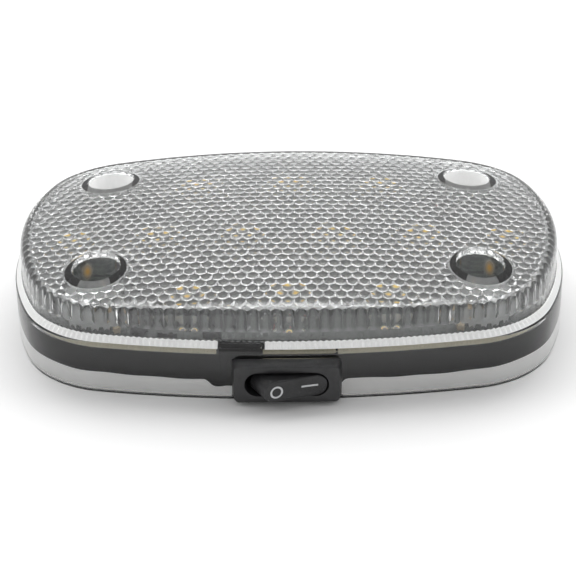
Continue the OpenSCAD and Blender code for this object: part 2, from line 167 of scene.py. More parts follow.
def ramp(tree, factor, stops):
    node = addNode(tree, "ShaderNodeValToRGB")
    band = node.color_ramp
    while len(band.elements) < len(stops):
        band.elements.new(0.5)
    for element, (at, shade) in zip(band.elements, stops):
        element.position = at
        element.color = shade if len(shade) == 4 else (*shade, 1.0)
    link(tree, factor, node.inputs["Fac"])
    return node.outputs["Color"]


def spread(tree, factor, low, high, fromLow=0.3, fromHigh=0.7):
    reach = {"From Min": fromLow, "From Max": fromHigh, "To Min": low, "To Max": high}
    node = addNode(tree, "ShaderNodeMapRange", reach)
    link(tree, factor, node.inputs["Value"])
    return node.outputs["Result"]


def bump(tree, height, shader, strength, distance):
    node = addNode(tree, "ShaderNodeBump", {"Strength": strength, "Distance": distance})
    link(tree, height, node.inputs["Height"])
    link(tree, node.outputs["Normal"], shader.inputs["Normal"])


def grainedFinish(name, dark, light, rough, grain=5.0, depth=0.00001, strength=0.3, metal=0.0):
    # an even moulded or plated finish: slight colour drift, uneven gloss and a fine grain
    material, tree, shader = nodeTree(name)
    at = place(tree)
    drift = noise(tree, at, 0.35, 4)
    fine = noise(tree, at, grain, 5, 0.6)
    link(tree, ramp(tree, drift, [(0.3, dark), (0.7, light)]), shader.inputs["Base Color"])
    link(tree, spread(tree, fine, *rough), shader.inputs["Roughness"])
    bump(tree, fine, shader, strength, depth)
    shader.inputs["Metallic"].default_value = metal
    return material



# camera
photoCamera = {
    "place": (4.6, -490.6, 282.4),
    "aim": (0.0, 0.0, 14.0),
    "roll": -0.783,
    "lens": 127.8,
    "shift": (-0.0016, -0.0470),
}


def setCamera(sizes):
    lens = bpy.data.cameras.new("photoCamera")
    lens.lens = sizes["lens"]
    lens.sensor_width = 36
    lens.shift_x, lens.shift_y = sizes["shift"]
    lens.clip_start = 0.01
    lens.clip_end = 10
    camera = bpy.data.objects.new("photoCamera", lens)
    bpy.context.scene.collection.objects.link(camera)
    spot = Vector(sizes["place"])*mm
    aim = Vector(sizes["aim"])*mm
    turn = (aim - spot).to_track_quat("-Z", "Y").to_matrix().to_4x4()
    roll = Matrix.Rotation(math.radians(sizes["roll"]), 4, "Z")
    camera.matrix_world = Matrix.Translation(spot) @ turn @ roll
    bpy.context.scene.camera = camera


setCamera(photoCamera)
print("scene: camera set")


# outline of the lamp
lampOutline = {
    "length": 148.6,
    "width": 96.68,
    "cornerRadius": 26.4,
    "sideBow": 270.0,
    "endBow": 74.0,
    "crown": 30.1,
    "crownLong": 594.0,
    "crownCross": 242.0,
}


def makeOutline(sizes, spacing):
    # each point is a centre, a radius and an angle, so it can be drawn inwards by any amount
    length, width = sizes["length"], sizes["width"]
    corner, side, end = sizes["cornerRadius"], sizes["sideBow"], sizes["endBow"]
    cx = length/2 - corner - 1.5
    for _ in range(40):
        cy = (width/2 - side) + math.sqrt((side - corner)**2 - cx*cx)
        cx = (length/2 - end) + math.sqrt((end - corner)**2 - cy*cy)
    sideTurn = math.degrees(math.asin(cx/(side - corner)))
    endTurn = math.degrees(math.asin(cy/(end - corner)))
    arcs = [
        ((length/2 - end, 0), end, -endTurn, endTurn),
        ((cx, cy), corner, endTurn, 90 - sideTurn),
        ((0, width/2 - side), side, 90 - sideTurn, 90 + sideTurn),
        ((-cx, cy), corner, 90 + sideTurn, 180 - endTurn),
        ((end - length/2, 0), end, 180 - endTurn, 180 + endTurn),
        ((-cx, -cy), corner, 180 + endTurn, 270 - sideTurn),
        ((0, side - width/2), side, 270 - sideTurn, 270 + sideTurn),
        ((cx, -cy), corner, 270 + sideTurn, 360 - endTurn),
    ]
    rows = []
    for centre, radius, start, stop in arcs:
        steps = max(3, round(math.radians(stop - start)*radius/spacing))
        for i in range(steps):
            rows.append((*centre, radius, math.radians(start + (stop - start)*i/steps)))
    return np.array(rows)


def drawIn(outline, inset):
    reach = outline[:, 2] - inset
    x = outline[:, 0] + reach*np.cos(outline[:, 3])
    y = outline[:, 1] + reach*np.sin(outline[:, 3])
    return np.column_stack([x, y])


def crownAt(x, y, depth=0.0):
    sizes = lampOutline
    return sizes["crown"] - depth - x*x/(2*sizes["crownLong"]) - y*y/(2*sizes["crownCross"])


def levelRing(outline, inset, z):
    flat = drawIn(outline, inset)
    return np.column_stack([flat, np.full(len(flat), z)])


def crownRing(outline, inset, share, depth):
    flat = drawIn(outline, inset)*share
    return np.column_stack([flat, crownAt(flat[:, 0], flat[:, 1], depth)])


# clear moulding
lensBody = {
    "skirtHeight": 14.5,
    "skirtWall": 2.5,
    "matteTo": 9.0,
    "ledgeWidth": 1.9,
    "ledgeRise": 1.5,
    "ledgeWall": 1.1,
    "domeWall": 2.3,
    "domeEdge": 2.5,
    "roof": 2.4,
    "roofRings": (0.92, 0.8, 0.68, 0.56, 0.44, 0.32, 0.2, 0.08),
    "rimRound": 0.35,
    "rimStep": 0.4,
    "holeX": 50.0,
    "holeY": 25.0,
    "wellWidth": 12.5,
    "wellFloor": 16.6,
    "wellRound": 0.4,
    "wellMouth": ((0.0, 0.45), (0.12, 0.18), (0.42, -0.02)),
    "screwWidth": 5.2,
    "columnWidth": 16.3,
    "columnFront": 4.0,
    "bossWidth": 11.0,
    "above": 40.0,
}
ledgeRibs = {
    "pitch": 1.5,
    "proud": 0.22,
    "profile": ((0.06, 0), (0.13, 1), (0.87, 1), (0.94, 0)),
    "stopShort": (0.2, 0.12),
    "scallop": {"inset": 0.14, "wave": 0.8, "lift": 0.3, "rise": 1.2, "blend": 0.62},
    "notchGap": (-18.0, -6.1),
    "innerDepth": 0.45,
}
honeycomb = {
    "pitch": 3.0,
    "rings": (0.42, 0.76, 1.0),
    "depth": 0.64,
    "border": 1.0,
    "clearance": 0.6,
    "hollowFloor": 8.0,
}
flutes = {
    "pitch": 3.0,
    "radius": 2.0,
    "stand": 0.64,
    "foot": 18.0,
    "footRound": 1.2,
    "footSteps": (0.15, 0.4, 0.7, 1.0),
}


def circle(radius, z, at=(0, 0), count=64):
    turns = np.linspace(0, 2*math.pi, count, endpoint=False)
    return np.column_stack([at[0] + radius*np.cos(turns), at[1] + radius*np.sin(turns), np.full(count, z)])


def tube(radius, z0, z1, at=(0, 0), count=64):
    return [circle(radius, z0, at, count), circle(radius, z1, at, count)]


def holePlaces(body):
    return [(sx*body["holeX"], sy*body["holeY"]) for sx in (-1, 1) for sy in (-1, 1)]


def ribOutline():
    # two points to each rib and an even number in all, so that ribs and gaps alternate all the way round
    outline = makeOutline(lampOutline, ledgeRibs["pitch"]/2)
    return outline[:len(outline) - len(outline) % 2]


def honeycombCells(sizes):
    # every whole cell as centre, ring and rim, shared rims welded afterwards
    pitch = sizes["pitch"]
    rowPitch = pitch*math.sqrt(3)/2
    corner = pitch/math.sqrt(3)
    columns = math.ceil(lampOutline["length"]/2/pitch) + 1
    rows = math.ceil(lampOutline["width"]/2/rowPitch) + 1
    rim = []
    for k in range(6):
        a, b = math.radians(30 + 60*k), math.radians(90 + 60*k)
        p = np.array([math.cos(a), math.sin(a)])*corner
        q = np.array([math.cos(b), math.sin(b)])*corner
        rim += [p, (p + q)/2]
    rim = np.array(rim)
    points, faces, heights = [], [], []
    for j in range(-rows, rows + 1):
        shift = pitch/2 if abs(j) % 2 else 0.0
        for i in range(-columns, columns + 1):
            centre = np.array([i*pitch + shift, j*rowPitch])
            base = len(points)
            points.append(centre)
            heights.append(1.0)
            for share in sizes["rings"]:
                for p in rim:
                    points.append(centre + p*share)
                    heights.append(1 - (np.linalg.norm(p*share)/corner)**2 if share < 1 else 0.0)
            for k in range(12):
                n = (k + 1) % 12
                faces.append((base, base + 1 + k, base + 1 + n))
                for ring in (0, 1):
                    a, b = base + 1 + 12*ring + k, base + 1 + 12*ring + n
                    faces.append((a, a + 12, b + 12, b))
    return np.array(points), np.array(heights), faces


def honeycombCutter(body, comb):
    # the hollow under the roof: its top is the pillowed underside, plain near the wall and the columns
    points, heights, faces = honeycombCells(comb)
    line = drawIn(ribOutline(), body["ledgeWidth"] + body["domeWall"] + comb["border"])
    inside = insideShare(points, line, 0.5)
    for x, y in holePlaces(body):
        far = np.hypot(points[:, 0] - x, points[:, 1] - y)
        inside *= np.clip((far - body["columnWidth"]/2 - comb["clearance"])/0.4, 0, 1)
    z = crownAt(points[:, 0], points[:, 1], body["roof"]) - comb["depth"]*heights*inside
    piece = wrapMesh("hollow", np.column_stack([points, z]), faces)
    mesh = bmesh.new()
    mesh.from_mesh(piece.data)
    bmesh.ops.remove_doubles(mesh, verts=mesh.verts, dist=0.02*mm)
    border = [e for e in mesh.edges if e.is_boundary]
    drawn = bmesh.ops.extrude_edge_only(mesh, edges=border)
    low = [v for v in drawn["geom"] if isinstance(v, bmesh.types.BMVert)]
    for v in low:
        v.co.z = comb["hollowFloor"]*mm
    loop = [e for e in drawn["geom"] if isinstance(e, bmesh.types.BMEdge) and e.is_boundary]
    bmesh.ops.contextual_create(mesh, geom=loop)
    bmesh.ops.recalc_face_normals(mesh, faces=mesh.faces)
    mesh.to_mesh(piece.data)
    mesh.free()
    return piece


def insideShare(points, line, soft):
    # 1 well inside the closed line, 0 outside it, with a short ramp at the line
    following = np.roll(line, -1, 0)
    best = np.full(len(points), 1e9)
    crossed = np.zeros(len(points), int)
    for a, b in zip(line, following):
        d = b - a
        t = np.clip(((points - a) @ d)/(d @ d), 0, 1)
        best = np.minimum(best, np.hypot(*(points - a - t[:, None]*d).T))
        spans = (a[1] > points[:, 1]) != (b[1] > points[:, 1])
        with np.errstate(divide="ignore", invalid="ignore"):
            x = a[0] + (points[:, 1] - a[1])*d[0]/d[1]
        crossed += spans & (points[:, 0] < x)
    sign = np.where(crossed % 2 == 1, 1.0, -1.0)
    return np.clip(sign*best/soft, 0, 1)


def flutedWall(body, rib):
    # inner side of the dome wall, ring by ring, with half-round ribs that die out at the foot
    outline = makeOutline(lampOutline, 0.42)
    base = body["ledgeWidth"] + body["domeWall"]
    flat = drawIn(outline, base)
    run = np.concatenate([[0], np.cumsum(np.hypot(*(np.roll(flat, -1, 0) - flat).T))])
    total = run[-1]
    count = math.floor(total/rib["pitch"])
    pitch = total/count
    offset = np.mod(run[:-1], pitch) - pitch/2
    stand = np.sqrt(np.clip(rib["radius"]**2 - offset**2, 0, None)) - (rib["radius"] - rib["stand"])
    stand = np.clip(stand, 0, None)
    rings = []
    ledge = body["skirtHeight"] - body["ledgeWall"]
    levels = [(ledge - 0.1, 0.0), (rib["foot"], 0.0)]
    for t in rib["footSteps"]:
        levels.append((rib["foot"] + rib["footRound"]*t, math.sin(math.pi/2*t)))
    levels.append((body["above"], 1.0))
    for z, share in levels:
        rings.append(np.column_stack([drawIn(outline, base + stand*share), np.full(len(outline), z)]))
    return loftRings("flutedWall", rings)


def lensShell(body, ribs, look):
    # outside of the moulding from the rim up: skirt, ribbed ledge, scalloped line, rounded edge and crown
    outline = ribOutline()
    high = np.where(np.arange(len(outline)) % 2 == 0, 1.0, -1.0)*ribs["proud"]
    r = body["rimRound"]
    shoulder = body["skirtHeight"]
    foot = shoulder + body["ledgeRise"]
    width = body["ledgeWidth"]
    rings = [levelRing(outline, r, 0), levelRing(outline, r*0.3, r*0.3), levelRing(outline, 0, r),
             levelRing(outline, 0, shoulder - r), levelRing(outline, r*0.25, shoulder - r*0.2),
             levelRing(outline, r, shoulder + r*0.6)]
    low = (r, shoulder + r*0.6)
    top = (width - ribs["stopShort"][0], foot - ribs["stopShort"][1])
    slope = np.hypot(top[0] - low[0], top[1] - low[1])
    ribStart = len(rings) - 1
    for share, rib in ribs["profile"]:
        inset = low[0] + (top[0] - low[0])*share - rib*high*(top[1] - low[1])/slope
        z = low[1] + (top[1] - low[1])*share + rib*high*(top[0] - low[0])/slope
        rings.append(np.column_stack([drawIn(outline, inset), z + np.zeros(len(outline))]))
    wave = ribs["scallop"]
    rings.append(levelRing(outline, width - 0.1, foot))
    ribbedBands = range(ribStart, len(rings))
    scalloped = drawIn(outline, width - wave["inset"] - wave["wave"]*high)
    rings.append(np.column_stack([scalloped, foot + wave["lift"] + wave["rise"]*high]))
    rings.append(levelRing(outline, width, foot + wave["blend"]))
    for k in range(9):
        a = math.radians(90*k/8)
        flat = drawIn(outline, width + body["domeEdge"]*(1 - math.cos(a)))
        z = crownAt(flat[:, 0], flat[:, 1], body["domeEdge"]*(1 - math.sin(a)))
        rings.append(np.column_stack([flat, z]))
    for share in body["roofRings"]:
        rings.append(crownRing(outline, width + body["domeEdge"], share, 0))
    lens = loftRings("clearLens", rings, look["clear"])
    finishBands(lens, len(outline), ribbedBands, look["ledge"])
    # the ledge is left clear over the notch, where the black resin shows
    left, right = ribs["notchGap"]
    for face in lens.data.polygons:
        if face.center.y < 0 and left < face.center.x/mm < right:
            face.material_index = 0
    return lens


def lensHollow(body, comb, flute, look):
    # the space inside the dome, with the four screw columns left standing
    ledge = body["skirtHeight"] - body["ledgeWall"]
    hollow = flutedWall(body, flute)
    hollow.data.materials.append(look["flutes"])
    cells = honeycombCutter(body, comb)
    cells.data.materials.append(look["cells"])
    cut(hollow, cells, "INTERSECT")
    for at in holePlaces(body):
        column = loftRings("column", tube(body["columnWidth"]/2, ledge, body["above"], at, 72), look["clear"])
        column.data.materials.append(look["column"])
        for face in column.data.polygons:
            if at[1] < 0 and face.center.y/mm < at[1] - body["columnFront"]:
                face.material_index = 1
        cut(hollow, column)
        cut(hollow, loftRings("boss", tube(body["bossWidth"]/2, 0, ledge + 1, at, 72)))
    print("scene: hollow of the lens", len(hollow.data.polygons))
    return hollow


def ledgeRecess(body, ribs, look):
    # the recess under the ledge, its top cut into fine ridges that run inwards from the skirt
    wall = body["skirtWall"]
    dome = body["ledgeWidth"] + body["domeWall"]
    ledge = body["skirtHeight"] - body["ledgeWall"]
    step = wall - body["rimStep"]
    teeth = ribOutline()
    height = np.where(np.arange(len(teeth)) % 2 == 0, 0.0, ribs["innerDepth"])

    def toothRing(inset, share):
        return np.column_stack([drawIn(teeth, inset), ledge + height*share])

    rings = [levelRing(teeth, step, -1), levelRing(teeth, step, 0.35), levelRing(teeth, wall, 0.6),
             levelRing(teeth, wall, body["matteTo"]), levelRing(teeth, wall, ledge - 0.3),
             toothRing(wall + 0.05, 0.6), toothRing(wall + 0.3, 1), toothRing(dome + 0.2, 1),
             levelRing(teeth, dome + 0.5, ledge)]
    recess = loftRings("recess", rings, look["clear"])
    finishBands(recess, len(teeth), (2,), look["skirt"])
    finishBands(recess, len(teeth), (5,), look["ledge"])
    for at in holePlaces(body):
        cut(recess, loftRings("boss", tube(body["bossWidth"]/2, -2, ledge + 1, at, 72)))
    return recess


def screwWell(body, at, look):
    # counterbore with a rounded floor edge and a soft mouth that follows the crown
    count = 72
    radius, floor, soft = body["wellWidth"]/2, body["wellFloor"], body["wellRound"]
    rings = [circle(radius - soft, floor, at, count), circle(radius, floor + soft, at, count)]
    for wider, drop in body["wellMouth"]:
        mouth = circle(radius + wider, 0.0, at, count)
        mouth[:, 2] = crownAt(mouth[:, 0], mouth[:, 1], drop)
        rings.append(mouth)
    rings.append(circle(radius + wider, body["above"], at, count))
    rear = at[1] > 0
    well = loftRings("well", rings, look["clear"])
    finishBands(well, count, (0, 1), look["rearWell" if rear else "frontWell"])
    if rear:
        floorFace = count*(len(rings) - 1)
        well.data.polygons[floorFace].material_index = 1
    return well


def buildLens(body, ribs, comb, flute, look):
    lens = lensShell(body, ribs, look)
    hollow = lensHollow(body, comb, flute, look)
    recess = ledgeRecess(body, ribs, look)
    cut(lens, hollow)
    cut(lens, recess)
    for at in holePlaces(body):
        cut(lens, screwWell(body, at, look))
        cut(lens, loftRings("screwBore", tube(body["screwWidth"]/2, -1, 20, at, 48)))
    return lens


def clearPlastic(name, smooth=(0.02, 0.07), clear=1.0):
    # water-clear polycarbonate with faint flow marks and hairline scuffs
    material, tree, shader = nodeTree(name)
    at = place(tree)
    shader.inputs["Transmission Weight"].default_value = clear
    shader.inputs["IOR"].default_value = plasticIndex
    cloud = noise(tree, at, 0.05, 3)
    tint = ramp(tree, cloud, [(0.3, (0.93, 0.945, 0.945)), (0.7, (0.965, 0.972, 0.97))])
    link(tree, tint, shader.inputs["Base Color"])
    fine = noise(tree, at, 1.6, 4)
    link(tree, spread(tree, fine, *smooth), shader.inputs["Roughness"])
    bump(tree, noise(tree, at, 0.3, 2), shader, 0.25, 0.00004)
    return material


def matteCore(name, clear, inward=False, glow=0.0):
    # the mould's core side isn't polished: a fine even matte that scatters light
    material, tree, shader = nodeTree(name)
    at = place(tree)
    cloud = noise(tree, at, 0.3, 4)
    tint = ramp(tree, cloud, [(0.3, (0.95, 0.955, 0.95)), (0.7, (0.985, 0.985, 0.98))])
    link(tree, tint, shader.inputs["Base Color"])
    link(tree, spread(tree, noise(tree, at, 5.0, 5), 0.4, 0.6), shader.inputs["Roughness"])
    bump(tree, noise(tree, at, 4.0, 5), shader, 0.4, 0.00004)
    shader.inputs["Transmission Weight"].default_value = clear
    # a face that is seen from within the plastic has no gloss of its own
    shader.inputs["IOR"].default_value = 1.02 if inward else plasticIndex
    # a faint glow stands in for the lamp light that reaches this wall through the plastic
    shader.inputs["Emission Color"].default_value = (1.0, 0.985, 0.96, 1)
    shader.inputs["Emission Strength"].default_value = glow
    return material


def paintedGlintWell(name, picture):
    # the wall of a front well is painted with a blurred amber picture of the nearest light source behind it,
    # a painted glint that stands in for light seen through the wall
    material = clearPlastic(name)
    tree = material.node_tree
    shader = tree.nodes["Principled BSDF"]
    at = place(tree)
    wide = addNode(tree, "ShaderNodeVectorMath", operation="ABSOLUTE")
    link(tree, at, wide.inputs[0])
    away = addNode(tree, "ShaderNodeVectorMath", {1: picture["centre"]}, operation="SUBTRACT")
    link(tree, wide.outputs[0], away.inputs[0])
    scaled = addNode(tree, "ShaderNodeVectorMath", {1: picture["stretch"]}, operation="MULTIPLY")
    link(tree, away.outputs[0], scaled.inputs[0])
    length = addNode(tree, "ShaderNodeVectorMath", operation="LENGTH")
    link(tree, scaled.outputs[0], length.inputs[0])
    # share of the painted amber glint, falling off from its centre; the wall is less clear where it is
    # painted
    share = spread(tree, length.outputs["Value"], 1, 0, 0.2, 1.1)
    mix = addNode(tree, "ShaderNodeMix", data_type="RGBA")
    link(tree, share, mix.inputs["Factor"])
    base = shader.inputs["Base Color"].links[0].from_socket
    link(tree, base, mix.inputs["A"])
    mix.inputs["B"].default_value = (*picture["amber"], 1)
    link(tree, mix.outputs["Result"], shader.inputs["Base Color"])
    link(tree, spread(tree, share, 1, 0.3, 0, 1), shader.inputs["Transmission Weight"])
    return material


# painted glint: where the amber picture of the nearest LED sits on the front wells, how far it spreads, and
# its colour
paintedGlintPicture = {
    "centre": (52.9, 19.5, 22.0),
    "stretch": (1/1.6, 1/2.4, 1/2.8),
    "amber": (1.0, 0.62, 0.2),
}
lens = buildLens(lensBody, ledgeRibs, honeycomb, flutes, {
    "clear": clearPlastic("clearMoulding"),
    "cells": clearPlastic("cellPolish", (0.16, 0.22), 0.88),
    "flutes": clearPlastic("flutePolish", (0.08, 0.14), 0.95),
    "column": matteCore("frostedColumn", 0.4, True),
    "ledge": matteCore("frostedLedge", 0.02),
    "skirt": matteCore("matteSkirt", 0.1, True, 0.13),
    "rearWell": matteCore("frostedWell", 0.1),
    "frontWell": paintedGlintWell("paintedGlintWell", paintedGlintPicture),
})

switchWindow = {
    "centre": (-0.5, 6.5),
    "opening": (23.6, 9.3, -41.0),
    "land": (28.3, 11.4, -47.9),
    "outside": -60.0,
}


def cutWindow(piece, sizes):
    # opening in the skirt for the switch's case, with a flat land for the bezel
    x, z = sizes["centre"]
    corners = ((-1, -1), (1, -1), (1, 1), (-1, 1))
    faces = [(0, 1, 2, 3), (7, 6, 5, 4), (0, 4, 5, 1), (1, 5, 6, 2), (2, 6, 7, 3), (3, 7, 4, 0)]
    for w, h, depth in (sizes["opening"], sizes["land"]):
        points = [(x + sx*w/2, y, z + sz*h/2) for y in (sizes["outside"], depth) for sx, sz in corners]
        cut(piece, wrapMesh("slab", points, faces), solver="EXACT")


cutWindow(lens, switchWindow)
lens.data.shade_smooth()
lens.data.set_sharp_from_angle(angle=math.radians(28))
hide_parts("housing", "screw_column_1", "screw_column_2", "screw_column_3", "screw_column_4")
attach(lens, "lamp")
print("scene: clear lens", len(lens.data.polygons))


# potting resin
resinFill = {
    "level": 5.4,
    "top": 12.22,
    "thinnest": 3.0,
    "wet": 0.08,
    "fromWall": (0.0, 0.25, 0.6, 1.2, 2.2, 4.0, 7.0, 11.0),
    "middle": (0.9, 0.78, 0.65, 0.5, 0.36, 0.22, 0.1),
    "heap": 2.0,
    "heapFrom": (-21.0, -18.4),
    "heapTo": (13.2, 15.2),
    "heapBack": (-32.6, -31.4),
    "creep": 0.35,
    "ripple": 0.12,
    "grommet": {"radius": 4.45, "top": 9.1, "at": (30, 8)},
}
notchLump = {
    "ends": (-18.3, -5.8),
    "height": (11.6, 14.15),
    "inset": (2.35, 7.1),
    "rounding": 0.4,
}


def ease(value, low, high):
    t = np.clip((value - low)/(high - low), 0, 1)
    return t*t*(3 - 2*t)


def resinLevel(sizes, x, y, wall):
    # underside of the poured resin: heaped round the switch, creeping down the wall, faintly rippled
    along = x - switchWindow["centre"][0]
    heap = ease(along, *sizes["heapFrom"])*(1 - ease(along, *sizes["heapTo"]))
    heap = heap*(1 - ease(y, *sizes["heapBack"]))
    heap = heap*(1 - 0.22*np.exp(-((along + 15)/1.3)**2))
    creep = 0.75 + 0.5*np.sin(x*0.11 + y*0.05) + 0.25*np.sin(x*0.47 + 1.7)
    creep = sizes["creep"]*np.exp(-wall/0.9)*creep
    ripple = np.sin(x*0.13 + 0.4)*np.cos(y*0.17) + 0.5*np.sin(x*0.31 + y*0.23)
    ripple = sizes["ripple"]*ripple*(1 - np.exp(-wall/6))
    return np.maximum(sizes["level"] - sizes["heap"]*heap - creep + ripple, sizes["thinnest"])


def resinSideFinish(name):
    # where the resin wets the clear wall there is no air between them, so it only shows its own black
    material, tree, shader = nodeTree(name)
    at = place(tree)
    cloud = noise(tree, at, 0.4, 4)
    tint = ramp(tree, cloud, [(0.3, (0.002, 0.002, 0.0023)), (0.7, (0.006, 0.006, 0.0063))])
    link(tree, tint, shader.inputs["Base Color"])
    link(tree, spread(tree, noise(tree, at, 3.0, 4), 0.5, 0.7), shader.inputs["Roughness"])
    bump(tree, cloud, shader, 0.2, 0.00005)
    shader.inputs["Specular IOR Level"].default_value = 0.04
    return material


def frontStrip(name, sizes):
    # a strip that follows the front wall, rounded in plan and on top
    outline = makeOutline(lampOutline, 0.3)
    (left, right), (base, top), (front, back) = sizes["ends"], sizes["height"], sizes["inset"]
    rounding = sizes["rounding"]
    middle = (front + back)/2
    flat = drawIn(outline, middle)
    chosen = (flat[:, 1] < 0) & (flat[:, 0] > left) & (flat[:, 0] < right)
    strip = outline[chosen]
    x = flat[chosen][:, 0]
    ends = np.clip(np.minimum(x - left, right - x)/1.1, 0, 1)
    half = (back - front)/2*np.sqrt(np.clip(1 - (1 - ends)**2, 0.02, 1))
    profile = ((0.0, base), (0.0, top - rounding*0.9), (rounding*0.3, top - rounding*0.25), (rounding, top))
    rings = []
    for shrink, z in profile:
        near = drawIn(strip, middle - np.maximum(half - shrink, 0.02))
        far = drawIn(strip, middle + np.maximum(half - shrink, 0.02))
        loop = np.vstack([near, far[::-1]])
        rings.append(np.column_stack([loop, np.full(len(loop), z)]))
    piece = loftRings(name, rings)
    faceOut(piece)
    return piece


def buildResin(sizes, glossy, wetted):
    outline = makeOutline(lampOutline, 0.9)
    wallInset = lensBody["skirtWall"] - sizes["wet"]
    rings = [levelRing(outline, wallInset, sizes["top"])]
    for step in sizes["fromWall"]:
        flat = drawIn(outline, wallInset + step)
        rings.append(np.column_stack([flat, resinLevel(sizes, flat[:, 0], flat[:, 1], step)]))
    rim = flat
    for share in sizes["middle"]:
        flat = rim*share
        rings.append(np.column_stack([flat, resinLevel(sizes, flat[:, 0], flat[:, 1], 12.0)]))
    fill = loftRings("pouredResin", rings, glossy)
    faceOut(fill)
    for at in holePlaces(lensBody):
        cut(fill, loftRings("boss", tube(lensBody["bossWidth"]/2 - sizes["wet"], 0, 14, at, 72)))
    grommet = sizes["grommet"]
    cut(fill, loftRings("grommetHole", tube(grommet["radius"], 0, grommet["top"], grommet["at"])))
    # resin that has come up through the board's notch
    cut(fill, frontStrip("notchLump", notchLump), "UNION")
    mesh = fill.data
    oneFinish(fill, glossy)
    mesh.materials.append(wetted)
    for face in mesh.polygons:
        if abs(face.normal.z) < 0.35 or face.center.z > (sizes["top"] + 0.08)*mm:
            face.material_index = 1
    mesh.shade_smooth()
    mesh.set_sharp_from_angle(angle=math.radians(35))
    return fill


resinGloss = grainedFinish("pottingResin", (0.004, 0.004, 0.0045), (0.011, 0.011, 0.0115), (0.14, 0.3),
                           grain=0.8, depth=0.0001)
resinBody = buildResin(resinFill, resinGloss, resinSideFinish("wettedResin"))
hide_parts("potting")
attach(resinBody, "lamp")
print("scene: poured resin", len(resinBody.data.polygons))


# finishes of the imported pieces
def boardFinish():
    # dark solder mask with copper runs under it; the sawn edge shows cream glass laminate
    material, tree, shader = nodeTree("boardMask")
    at = place(tree)
    runs = addNode(tree, "ShaderNodeTexBrick", {
        "Scale": 0.16,
        "Mortar Size": 0.03,
        "Mortar Smooth": 0.2,
        "Color1": (0.02, 0.024, 0.022, 1),
        "Color2": (0.03, 0.034, 0.031, 1),
        "Mortar": (0.06, 0.066, 0.06, 1),
    })
    link(tree, at, runs.inputs["Vector"])
    geometry = addNode(tree, "ShaderNodeNewGeometry")
    split = addNode(tree, "ShaderNodeSeparateXYZ")
    link(tree, geometry.outputs["True Normal"], split.inputs["Vector"])
    upright = addNode(tree, "ShaderNodeMath", operation="ABSOLUTE")
    link(tree, split.outputs["Z"], upright.inputs[0])
    fibre = noise(tree, at, 3.0, 4)
    laminate = ramp(tree, fibre, [(0.35, (0.52, 0.46, 0.3)), (0.65, (0.66, 0.6, 0.42))])
    mix = addNode(tree, "ShaderNodeMix", data_type="RGBA")
    link(tree, spread(tree, upright.outputs[0], 0, 1, 0.3, 0.6), mix.inputs["Factor"])
    link(tree, laminate, mix.inputs["A"])
    link(tree, runs.outputs["Color"], mix.inputs["B"])
    link(tree, mix.outputs["Result"], shader.inputs["Base Color"])
    link(tree, spread(tree, fibre, 0.28, 0.42), shader.inputs["Roughness"])
    bump(tree, runs.outputs["Fac"], shader, 0.3, 0.00003)
    return material


def phosphorFinish():
    # amber gel over each chip, with a faint painted glow that brightens its glints though the chip is not lit
    material, tree, shader = nodeTree("phosphorGel")
    at = place(tree)
    speck = noise(tree, at, 4.0, 5, 0.7)
    tint = ramp(tree, speck, [(0.3, (0.95, 0.55, 0.05)), (0.7, (1.0, 0.74, 0.16))])
    link(tree, tint, shader.inputs["Base Color"])
    link(tree, spread(tree, speck, 0.18, 0.34), shader.inputs["Roughness"])
    bump(tree, speck, shader, 0.3, 0.00004)
    # painted glow: the unlit gel shines faintly amber of itself
    shader.inputs["Emission Color"].default_value = (1.0, 0.62, 0.14, 1)
    shader.inputs["Emission Strength"].default_value = 0.3
    shader.inputs["Subsurface Weight"].default_value = 0.25
    shader.inputs["Subsurface Radius"].default_value = (0.0008, 0.0005, 0.0002)
    return material


# each has its name, dark and light tone, roughness from and to, then what differs from the usual grain
finishes = {
    "board": boardFinish(),
    "phosphor": phosphorFinish(),
    "ledBody": grainedFinish("ledPackage", (0.62, 0.6, 0.54), (0.78, 0.76, 0.7), (0.3, 0.45), depth=0.00002),
    "chipBlack": grainedFinish("chipEpoxy", (0.02, 0.02, 0.022), (0.05, 0.05, 0.052), (0.45, 0.7),
                               grain=9.0, depth=0.00003, strength=0.5),
    "ferrite": grainedFinish("ferriteCore", (0.06, 0.06, 0.065), (0.13, 0.13, 0.14), (0.4, 0.6),
                             depth=0.00003, strength=0.4),
    "ceramic": grainedFinish("ceramicTan", (0.42, 0.32, 0.2), (0.56, 0.45, 0.3), (0.3, 0.5), depth=0.00002),
    "acetal": grainedFinish("acetalWhite", (0.72, 0.72, 0.7), (0.82, 0.82, 0.8), (0.25, 0.4), strength=0.2),
    "spring": grainedFinish("springSteel", (0.42, 0.42, 0.44), (0.62, 0.62, 0.64), (0.15, 0.35),
                            grain=12.0, metal=1.0),
    "brass": grainedFinish("contactBrass", (0.62, 0.42, 0.16), (0.8, 0.6, 0.28), (0.18, 0.38),
                           grain=8.0, metal=1.0),
    "tinned": grainedFinish("tinnedMetal", (0.55, 0.55, 0.54), (0.72, 0.72, 0.71), (0.25, 0.45),
                            grain=6.0, depth=0.00002, metal=1.0),
    "wireRed": grainedFinish("wireRed", (0.4, 0.015, 0.015), (0.55, 0.03, 0.03), (0.35, 0.5), strength=0.2),
    "wireBlack": grainedFinish("wireBlack", (0.012, 0.012, 0.012), (0.03, 0.03, 0.03), (0.35, 0.5),
                               strength=0.2),
    "solder": grainedFinish("solder", (0.5, 0.5, 0.52), (0.7, 0.7, 0.72), (0.15, 0.3),
                            grain=3.0, depth=0.00003, strength=0.4, metal=1.0),
    "rubber": grainedFinish("grommetRubber", (0.012, 0.012, 0.012), (0.028, 0.028, 0.028), (0.55, 0.8),
                            grain=7.0, depth=0.00004, strength=0.5),
}
